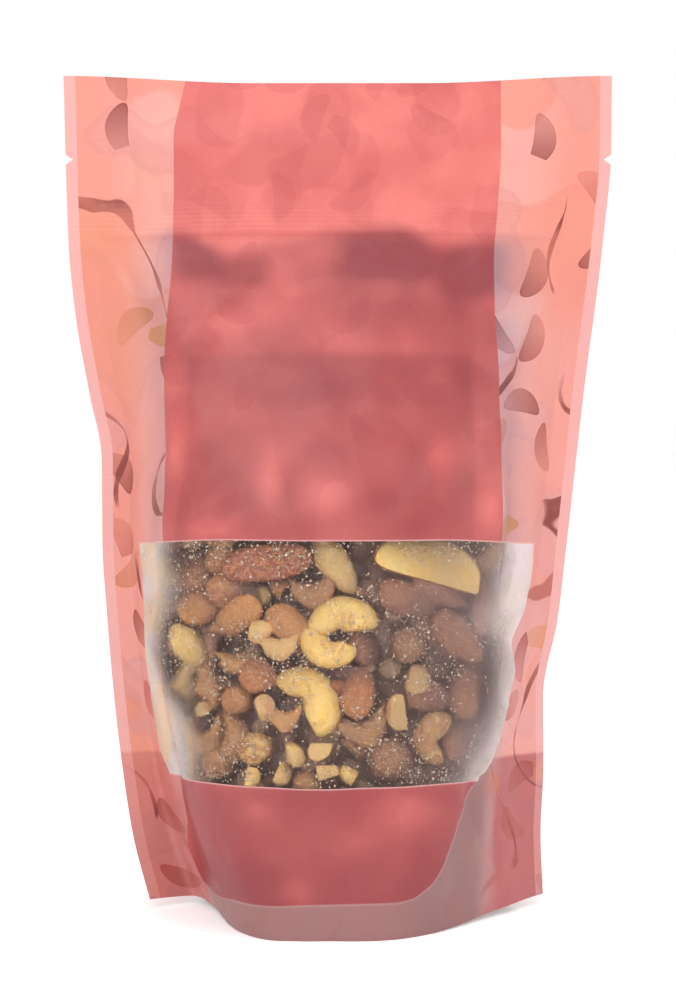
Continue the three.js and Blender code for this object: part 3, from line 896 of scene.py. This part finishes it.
def pecanForm(draw):
    # half a pecan: two long furrows and fine ripples on a rounded back
    body = closedForm(13.5 * lengthwise, 5.9 * swell ** 0.7, 3.6 * swell ** 0.6)
    furrow = sum(np.exp(-((body[:, 1] - side) / 0.95) ** 2) for side in (-2.5, 0, 2.5))
    top = body[:, 2] > 0
    ripple = 0.28 * np.sin(body[:, 0] * 2.1 + 0.8 * np.sin(body[:, 1] * 1.7))
    body[:, 2] -= np.where(top, 1.25 * furrow * np.clip(body[:, 2] / 3.2, 0, 1) - ripple, 0)
    return withTips(body, (-13.5, 0, 0), (13.5, 0, 0))


def walnutForm(draw):
    # a lobed, bent piece of a walnut half
    body = closedForm(9.5 * lengthwise, 5.4 * swell ** 0.6, 4.4 * swell ** 0.6)
    seed = int(draw.integers(1000))
    crinkle = 1 - 2 * np.abs(valueNoise(body, 4.6, seed))
    crinkle += 0.4 * (1 - 2 * np.abs(valueNoise(body, 2.3, seed + 1)))
    body *= (1 + 0.2 * crinkle)[:, None]
    body[:, 1] += 0.07 * body[:, 0] ** 2 - 2.2
    return withTips(body, (-9.3, 4, 0), (9.3, 4, 0))


def bitForm(draw):
    # a chip: a lump cut by flat breaks
    body = closedForm(3.9 * lengthwise, 3.4 * swell ** 0.8, 2.8 * swell ** 0.8)
    body = withTips(body, (-3.9, 0, 0), (3.9, 0, 0))
    for _ in range(5):
        normal = draw.normal(size=3)
        normal /= np.linalg.norm(normal)
        over = body @ normal - draw.uniform(1.2, 2.6)
        body -= np.clip(over, 0, None)[:, None] * normal * 0.92
    return body


nutKinds = {
    "cashew": {"form": cashewForm, "share": 0.12, "radius": 7.5, "rough": 0.03},
    "almond": {"form": almondForm, "share": 0.26, "radius": 6.6, "rough": 0.07},
    "hazelnut": {"form": hazelnutForm, "share": 0.08, "radius": 6.6, "rough": 0.05},
    "large_kernel": {"form": largeForm, "share": 0.05, "radius": 8.0, "rough": 0.04},
    "pecan": {"form": pecanForm, "share": 0.11, "radius": 6.8, "rough": 0.04},
    "walnut": {"form": walnutForm, "share": 0.16, "radius": 6.4, "rough": 0.06},
    "nut_bits": {"form": bitForm, "share": 0.22, "radius": 3.4, "rough": 0.08},
}

# flat breaks of a nut: the way each faces and its place, as a share of the nut's reach that way
nutBreaks = {
    "": [],
    "start": [((-1, 0.1, 0.45), 0.62)],
    "end": [((1, 0.15, 0.45), 0.62)],
    "half": [((1, 0.2, 0.25), 0.12)],
    "split": [((0.04, -0.06, 1), 0.12)],
    "slab": [((0.03, 0.05, 1), 0.05), ((0.05, -1, 0.05), 0.8)],
    "ends": [((1, 0.3, 0.5), 0.4), ((-1, 0.4, 0.35), 0.5)],
}

# nuts that show at the window: kind, across, up, turn and tip in degrees, gap behind the film,
# size, how much of the skin is off, any break. A turn of 0 lays the long side across.
shownNuts = [
    ("cashew", 3, 101.5, 6, 0, 0.42, 1.14, 1), ("cashew", -0.5, 91, 158, 8, 0.42, 1.0, 1),
    ("cashew", -5.5, 75.5, -50, 0, 0.42, 1.18, 1), ("cashew", 34, 63, 78, 0, 1.2, 0.82, 0.72),
    ("large_kernel", 28.5, 118.2, -19, 0, 0.42, 1.1, 0, "slab"),
    ("almond", 33, 109.5, -30, 0, 4.5, 0.8, 0.1), ("almond", 0.8, 117, -58, 0, 2.8, 0.8, 0.92),
    ("pecan", -20, 118, 8, 0, 0.42, 1.0, 0), ("almond", -45, 117, 80, 30, 3.2, 0.8, 0.3),
    ("almond", -40.5, 103.5, 28, 38, 0.42, 0.86, 0.5),
    ("almond", -29, 109.5, -12, 25, 2.4, 0.85, 0.2),
    ("almond", -29, 100.5, 215, 14, 0.42, 0.8, 0.55, "end"),
    ("almond", -12.5, 98.5, -36, 12, 0.45, 0.8, 0.45, "end"),
    ("nut_bits", -20.5, 96.5, 6, 0, 0.42, 1.05, 1), ("walnut", -15.5, 93, 4, 0, 1.8, 0.62, 0.9),
    ("almond", -47.5, 88.5, -66, 20, 0.42, 0.88, 0.9), ("walnut", -28.5, 89, 30, 30, 1.3, 0.72, 0),
    ("almond", -20.5, 82, 24, 30, 0.5, 0.78, 0.12, "half"),
    ("hazelnut", -28.5, 74.5, 8, 0, 0.42, 0.78, 0.25), ("nut_bits", -19, 72, 78, 0, 0.42, 1.25, 1),
    ("nut_bits", -39.5, 71, 20, 0, 1.6, 0.8, 0.9),
    ("hazelnut", -21.5, 59.5, 40, 0, 0.5, 0.8, 0.75),
    ("hazelnut", -37, 54, 200, 0, 0.9, 0.86, 0.35), ("walnut", -31, 63, 70, 0, 2.2, 0.8, 0.1),
    ("nut_bits", -9.5, 58.5, 125, 0, 1.6, 1.1, 1),
    ("nut_bits", -1.5, 60, 52, 0, 2.0, 1.0, 1, "split"),
    ("nut_bits", 0.5, 53, 25, 0, 0.42, 1.15, 1), ("nut_bits", -13, 52, 20, 0, 1.6, 1.15, 0.9),
    ("nut_bits", -23, 51, 80, 0, 0.42, 0.9, 1), ("nut_bits", 7, 52, -40, 0, 1.8, 0.95, 1),
    ("walnut", -12.5, 69.5, 0, 0, 1.0, 0.5, 0.05), ("almond", 9.5, 79, 80, 25, 0.6, 0.86, 0),
    ("nut_bits", 28.5, 81.5, 100, 0, 1.8, 1.5, 0.9),
    ("nut_bits", 22, 71, 88, 0, 2.4, 1.4, 0.7, "split"),
    ("hazelnut", 20.5, 56.5, 10, 0, 2.8, 1.08, 0.1), ("almond", 39.5, 94, -42, 0, 0.5, 0.9, 0.12),
    ("almond", 24, 106, -20, 10, 3.4, 0.9, 0), ("walnut", 49, 121, 30, 0, 2.6, 0.8, 0.7),
    ("pecan", 50, 104, 70, 20, 1.6, 0.7, 0), ("hazelnut", 25, 92, 0, 0, 3.6, 0.9, 0.2),
    ("almond", 46, 78, 76, 12, 2.2, 0.9, 0.15), ("almond", 45, 64, 60, 30, 2.0, 0.85, 0.05),
    ("walnut", -42, 62, 15, 0, 1.8, 0.8, 0.1),
    ("almond", -35, 119.5, 50, 10, 2.4, 0.75, 0.35, "half"),
    ("walnut", 11, 68, 15, 0, 3.0, 0.8, 0), ("walnut", -6, 110, 15, 0, 3.2, 0.75, 0.05),
    ("almond", 34, 75, -20, 10, 3.6, 0.8, 0.1),
]

heap = {
    "fillLow": 24, "fillHigh": 148, "fillSide": 60, "fillCount": 300, "tries": 12000,
    "frontLayer": (2.4, 7), "backLayer": (6, 12.5), "closeness": 0.72, "brokenShare": 0.5,
    "rightGap": 3.0, "aboveGusset": 10, "coreGap": 9.5, "coreSideGap": 3.0, "coreTop": 205,
    "coreSide": 62, "coreLow": 2.5, "lumpSize": 13, "lumpHeight": 2.6,
    # heights between which the core draws back behind the window and comes forward above it
    "coreIn": (36, 52), "coreOut": (138, 156), "nutSizes": (0.75, 1.05), "bitSizes": (0.7, 1.5),
}


def turnMatrix(axis, angle):
    c, s = math.cos(angle), math.sin(angle)
    a, b = [(1, 2), (2, 0), (0, 1)][axis]
    matrix = np.eye(3)
    matrix[a, a] = matrix[b, b] = c
    matrix[a, b], matrix[b, a] = -s, s
    return matrix


nutMeshes = {kind: [] for kind in nutKinds}
takenPlaces = []


def breakOff(body, breaks):
    # cut a nut flat; also where the cut flesh is, 0 or 1
    cut = np.zeros(len(body))
    for way, place in breaks:
        way = np.array(way, float) / np.linalg.norm(way)
        along = body @ way
        over = np.clip(along - place * along.max(), 0, None)
        body = body - over[:, None] * way * 0.96
        cut = np.maximum(cut, np.clip(over / (0.35 * along.max()), 0, 1))
    return body, cut


def addNut(kind, across, up, turn, tip, gap, size, bare, breaks="", tumble=0.1):
    # shape one nut, lay it against the film from inside and keep what its finish needs
    settings = nutKinds[kind]
    draw = np.random.default_rng(len(takenPlaces) * 13 + 5)
    local = settings["form"](draw) * draw.uniform(0.93, 1.07, 3)
    seed = int(draw.integers(9999))
    lump = valueNoise(local, 4.5, seed) + 0.5 * valueNoise(local, 1.6, seed + 1)
    local = local * (1 + settings["rough"] * lump)[:, None]
    local, cut = breakOff(local, nutBreaks[breaks])
    place, axes = placeOnFilm(across, up)
    tilt = turnMatrix(1, math.radians(tip) + draw.uniform(-0.5, 0.5) * tumble)
    spin = turnMatrix(0, draw.uniform(-1, 1) * tumble)
    turned = local * size @ (axes @ turnMatrix(2, math.radians(turn)) @ tilt @ spin).T
    turned -= (turned.max(0) + turned.min(0)) / 2
    points = turned + place - axes[:, 2] * (gap + (turned @ axes[:, 2]).max())
    clearance = depthBehind(points[::4]).min() - max(0.38, gap)
    if clearance < 0:
        points += axes[:, 2] * clearance
    takenPlaces.append((points.mean(0), settings["radius"] * size))
    nutMeshes[kind].append({
        "points": points, "local": local + seed % 97 * 31.7, "depth": depthBehind(points),
        "tone": np.full(len(points), draw.random()), "bare": np.full(len(points), float(bare)),
        "cut": cut})


for shown in shownNuts:
    addNut(*shown)


def fillHeap():
    kinds = list(nutKinds)
    shares = np.array([nutKinds[kind]["share"] for kind in kinds])
    placed = 0
    for layer, count in (("frontLayer", 0.5), ("backLayer", 1.0)):
        for _ in range(heap["tries"]):
            if placed >= heap["fillCount"] * count:
                break
            kind = kinds[rng.choice(len(kinds), p=shares / shares.sum())]
            size = rng.uniform(*heap["bitSizes" if kind == "nut_bits" else "nutSizes"])
            across = rng.uniform(-heap["fillSide"], heap["fillSide"])
            up = rng.uniform(heap["fillLow"], heap["fillHigh"])
            gap, turn, tip = rng.uniform(*heap[layer]), rng.uniform(0, 360), rng.uniform(-50, 50)
            gap += heap["rightGap"] * smoothstep(0, 22, across)
            bare = rng.random() ** 2
            breaks = rng.choice(["start", "end", "half", "split", "ends"])
            if rng.random() > heap["brokenShare"] or kind == "cashew":
                breaks = ""
            place, axes = placeOnFilm(across, up)
            radius = nutKinds[kind]["radius"] * size
            centre = place - axes[:, 2] * (gap + radius * 0.6)
            inside = up > bottomSealHeight(across) + heap["aboveGusset"]
            if inside and all(np.linalg.norm(centre - other) > heap["closeness"] * (radius + reach)
                              for other, reach in takenPlaces):
                addNut(kind, across, up, turn, tip, gap, size, bare, breaks, 0.9)
                placed += 1
    return placed


print("nuts placed:", len(shownNuts), "shown and", fillHeap(), "behind")

nutFinish = {
    # the first colour is the painted haze and shade that nuts turn to behind the film; rightHaze
    # adds more of it on the right, lower down
    "haze": rgb(121, 97, 96), "hazeDepth": 9.0, "hazeShare": 0.88, "rightHaze": 0.38,
    "cream": rgb(255, 208, 117), "creamPale": rgb(255, 221, 142), "tan": rgb(226, 160, 90),
    "beige": rgb(226, 184, 128), "golden": rgb(204, 142, 84), "speck": rgb(122, 70, 44),
    "dusty": rgb(222, 186, 156),
}

# skin dark and light, stretch of its streaks, their depth, roughness
nutLooks = {
    "cashew": (rgb(214, 160, 96), rgb(238, 192, 126), (0.3, 0.3, 0.3), 0.1, 0.55),
    "almond": (rgb(134, 74, 50), rgb(196, 124, 84), (0.12, 1.1, 1.1), 0.6, 0.6),
    "hazelnut": (rgb(128, 78, 50), rgb(192, 132, 84), (0.35, 0.9, 0.9), 0.4, 0.55),
    "large_kernel": (rgb(104, 58, 42), rgb(160, 96, 66), (0.2, 0.8, 0.8), 0.3, 0.5),
    "pecan": (rgb(128, 58, 42), rgb(188, 102, 74), (0.25, 0.9, 0.9), 0.5, 0.45),
    "walnut": (rgb(148, 92, 56), rgb(214, 160, 102), (0.5, 0.5, 0.5), 0.4, 0.55),
    "nut_bits": (rgb(158, 84, 56), rgb(214, 142, 88), (0.5, 0.5, 0.5), 0.3, 0.6),
}


def nutMaterial(name, skinDark, skinLight, grainStretch, grainDepth, roughness):
    # skin over pale flesh; painted haze and shade darken and grey the colour with the distance
    # behind the film
    f = nutFinish
    material, start, shader = makeMaterial(name, 0.3, roughness)
    local = attribute(start, "local", "Vector")
    tone, bare, cut, haze = (attribute(start, key) for key in ("tone", "bare", "cut", "haze"))
    streaks = (local * grainStretch).grain(1.0, 3.0)
    patch = local.grain(3.2)
    fine = local.grain(0.6)
    skin = (streaks.step(0.25, 0.75) * 0.7 + tone * 0.5).least(1.0).mix(skinDark, skinLight)
    skin = (local.grain(1.7, 3.0).step(0.46, 0.62) * 0.45).mix(skin, f["golden"])
    rubbed = (patch * 0.8 + bare).step(0.55, 0.95)
    skin = (rubbed * 0.8).mix(skin, f["golden"])
    skin = (fine.step(0.48, 0.7) * 0.35 + patch.step(0.5, 0.7) * 0.15).mix(skin, f["dusty"])
    flesh = patch.step(0.35, 0.7).mix(f["cream"], f["creamPale"])
    if name not in ("cashew", "hazelnut", "large_kernel"):
        flesh = (tone * 0.7 + 0.3).mix(flesh, f["beige"])
    flesh = (fine.step(0.6, 0.75) * 0.3 + streaks.step(0.58, 0.8) * 0.3).mix(flesh, f["tan"])
    flesh = (local.grain(0.9, 1.0).step(0.72, 0.75) * 0.8).mix(flesh, f["speck"])
    peeled = (patch * 0.5 + bare).step(0.95, 1.12).most(cut.step(0.35, 0.7))
    colour = haze.mix(peeled.mix(skin, flesh), f["haze"])
    relief = streaks * grainDepth + fine * 0.08
    feed(shader, Base_Color=colour, Normal=bump(relief, 0.6),
         Roughness=fine.step(0.3, 0.7, roughness - 0.08, roughness + 0.1))
    return material


def buildNuts():
    f = nutFinish
    for kind, nuts in nutMeshes.items():
        both = {key: np.concatenate([nut[key] for nut in nuts]) for key in nuts[0]}
        corners = len(nuts[0]["points"])
        faces = [tuple(corner + i * corners for corner in face)
                 for i in range(len(nuts)) for face in closedFaces(rings - 1, around)]
        # painted haze and shade: greyer and darker with the depth behind the film, and more towards
        # the right and lower down
        haze = f["hazeShare"] * smoothstep(0.3, f["hazeDepth"], both.pop("depth"))
        points = both.pop("points")
        dim = smoothstep(4, 40, points[:, 0]) * (1 - smoothstep(102, 114, points[:, 2]))
        both["haze"] = haze + (1 - haze) * f["rightHaze"] * dim
        makePiece(kind, points, faces, both, nutMaterial(kind, *nutLooks[kind]))
        print(kind, len(nuts), "pieces")


buildNuts()


def heapCore():
    # the shaded nuts behind the first layers, as one lumpy form inside the film
    columns, rows = 60, 84
    levels = np.linspace(0, heap["coreTop"], 90)
    across = np.linspace(-heap["coreSide"], heap["coreSide"], columns)
    # each column starts above the folded gusset
    low = bottomSealHeight(across) + heap["coreLow"]
    wanted = low + np.linspace(0, 1, rows)[:, None] * (heap["coreTop"] - low)
    sides = []
    for panel, salt, gapAtWindow, most in (("front", 8, heap["coreGap"], 0.9), ("back", 9, 0, 0.6)):
        table = []
        for up in levels:
            close = smoothstep(*heap["coreIn"], up) * (1 - smoothstep(*heap["coreOut"], up))
            flat = np.stack([across, np.full(columns, up)], 1)
            inset = (heap["coreSideGap"] + gapAtWindow * close
                     + heap["lumpHeight"] * (0.8 + valueNoise(flat, heap["lumpSize"], salt)))
            row, normal = panelRow(across, up, panel, fine=False)
            row[:, :2] -= normal * np.minimum(inset, follow["belly"](up) * most)[:, None]
            table.append(row)
        table = np.array(table)
        sides.append(np.array([[np.interp(wanted[:, c], levels, table[:, c, axis])
                                for axis in range(3)] for c in range(columns)]).transpose(2, 0, 1))
    body = np.concatenate([sides[0], sides[1][:, ::-1]], 1)
    points = withTips(body.reshape(-1, 3), body[0].mean(0), body[-1].mean(0) + (0, 0, 2))
    material, start, shader = makeMaterial("heapShade", 0.2, 0.7)
    place = attribute(start, "place", "Vector")
    blotch, fine = place.grain(9.0), place.grain(2.0)
    colour = blotch.step(0.35, 0.65).mix(rgb(158, 126, 122), rgb(188, 156, 146))
    colour = (fine.step(0.6, 0.75) * 0.3).mix(colour, rgb(204, 176, 160))
    feed(shader, Base_Color=colour, Normal=bump(blotch + fine * 0.3, 1.2))
    makePiece("nut_heap", points, closedFaces(rows, columns * 2), {"place": points},
              material)


heapCore()
print("heap core made")

dust = {
    "count": 7500, "smallest": 0.11, "largest": 0.55, "rarity": 3.4, "behind": (0.03, 0.3),
    "low": 49, "top": 125, "side": 64, "clusterSize": 12, "colours": [
        (0.0, rgb(196, 160, 130)), (0.55, rgb(222, 198, 174)), (1.0, rgb(248, 234, 216))],
}


def nutDust():
    # flattened crumbs that cling to the inside of the window
    across, up = frontFlat.T
    count, smallest = dust["count"], dust["smallest"]
    crowd = (0.45 + 0.9 * valueNoise(frontFlat, dust["clusterSize"], 77)
             + 0.6 * valueNoise(frontFlat, 4, 78) - across / 200 + 0.5 * smoothstep(112, 124, up))
    inside = (up > dust["low"]) & (up < dust["top"]) & (np.abs(across) < dust["side"])
    chance = np.clip(crowd, 0.06, 1.4) * inside
    chosen = rng.choice(len(chance), count, p=chance / chance.sum())
    outwards, sideways = filmNormals[chosen], panelAcross[chosen]
    axes = np.stack([sideways, np.cross(outwards, sideways), outwards], 2)
    size = smallest + (dust["largest"] - smallest) * rng.random(count) ** dust["rarity"]
    corners = np.array([(1, 0, 0), (0, 1, 0), (-1, 0, 0), (0, -1, 0), (0, 0, 1), (0, 0, -1)], float)
    crumb = (corners * rng.uniform(0.6, 1.4, (count, 6, 1)) * size[:, None, None]
             * (rng.uniform(0.6, 1.3, (count, 1, 3)) * (1, 1, 0.18)))
    crumb[:, :, :2] += rng.uniform(-0.7, 0.7, (count, 1, 2))
    crumb[:, :, 2] -= (rng.uniform(*dust["behind"], count) + size * 0.25)[:, None]
    points = frontPoints[chosen][:, None] + np.einsum("nij,ncj->nci", axes, crumb)
    shell = [(0, 1, 4), (1, 2, 4), (2, 3, 4), (3, 0, 4), (1, 0, 5), (2, 1, 5), (3, 2, 5), (0, 3, 5)]
    faces = (np.arange(count)[:, None, None] * 6 + np.array(shell)).reshape(-1, 3)
    material, start, shader = makeMaterial("dust", 0.3, 0.7)
    tone = attribute(start, "tone")
    feed(shader, Base_Color=tone.node("ShaderNodeValToRGB", {"stops": dust["colours"]}, {0: tone}))
    makePiece("nut_dust", points.reshape(-1, 3), faces.tolist(),
              {"tone": np.repeat(rng.random(count), 6)}, material)


nutDust()
print("dust made")

studio = {
    "floorSize": 3.0, "floor": rgb(250, 250, 250), "floorGlow": 0.28, "world": 0.73,
    "seenWorld": 1.0,
    # name: (place in metres, size, power)
    "lights": {
        "frontSoft": ((-0.5, -1.3, 1.0), 1.2, 10.0),
        "sideSoft": ((1.2, -0.7, 0.7), 0.9, 3.9),
        "topSoft": ((0.1, -0.1, 1.5), 1.0, 4.9),
    },
    "lightsAim": (0, 0, 0.13),
    # the camera: millimetres, degrees, and the focal length and picture height in pixels
    "distance": 720, "pitch": 4.0, "aim": (0.0, 0.0, 134.3), "focal": 2216.7, "pictureHeight": 992,
}


def stageAndLights():
    size, scene, white = studio["floorSize"], bpy.context.scene, (1, 1, 1, 1)
    mesh = bpy.data.meshes.new("floor")
    mesh.from_pydata([(-size, -size, 0), (size, -size, 0), (size, size, 0), (-size, size, 0)],
                     [], [(0, 1, 2, 3)])
    mesh.materials.append(makeMaterial("floorWhite", 0.1, 0.8, {
        "Base Color": studio["floor"], "Emission Color": white,
        "Emission Strength": studio["floorGlow"]})[0])
    floor = bpy.data.objects.new("floor", mesh)
    scene.collection.objects.link(floor)
    scene.world = bpy.data.worlds.new("whiteRoom")
    scene.world.use_nodes = True
    background = scene.world.node_tree.nodes["Background"]
    background.inputs["Color"].default_value = white
    seen = Wire(scene.world.node_tree).node("ShaderNodeLightPath", None, None, "Is Camera Ray")
    feed(background, Strength=seen * (studio["seenWorld"] - studio["world"]) + studio["world"])
    for name, (place, wide, power) in studio["lights"].items():
        lamp = bpy.data.lights.new(name, "AREA")
        lamp.size, lamp.energy = wide, power
        light = bpy.data.objects.new(name, lamp)
        light.location = place
        aim = Vector(studio["lightsAim"]) - Vector(place)
        light.rotation_euler = aim.to_track_quat("-Z", "Y").to_euler()
        scene.collection.objects.link(light)


def camera():
    aim = (Vector(studio["aim"]) + Vector(placeShift)) * mm
    tilt = math.radians(studio["pitch"])
    lens = bpy.data.cameras.new("camera")
    lens.lens = lens.sensor_width * studio["focal"] / studio["pictureHeight"]
    eye = bpy.data.objects.new("camera", lens)
    eye.location = aim + Vector((0, -math.cos(tilt), math.sin(tilt))) * studio["distance"] * mm
    eye.rotation_euler = (math.radians(90) - tilt, 0, 0)
    bpy.context.scene.collection.objects.link(eye)
    bpy.context.scene.camera = eye


stageAndLights()
camera()
bpy.context.scene.view_settings.view_transform = "Standard"

print("stage, lights and camera set")
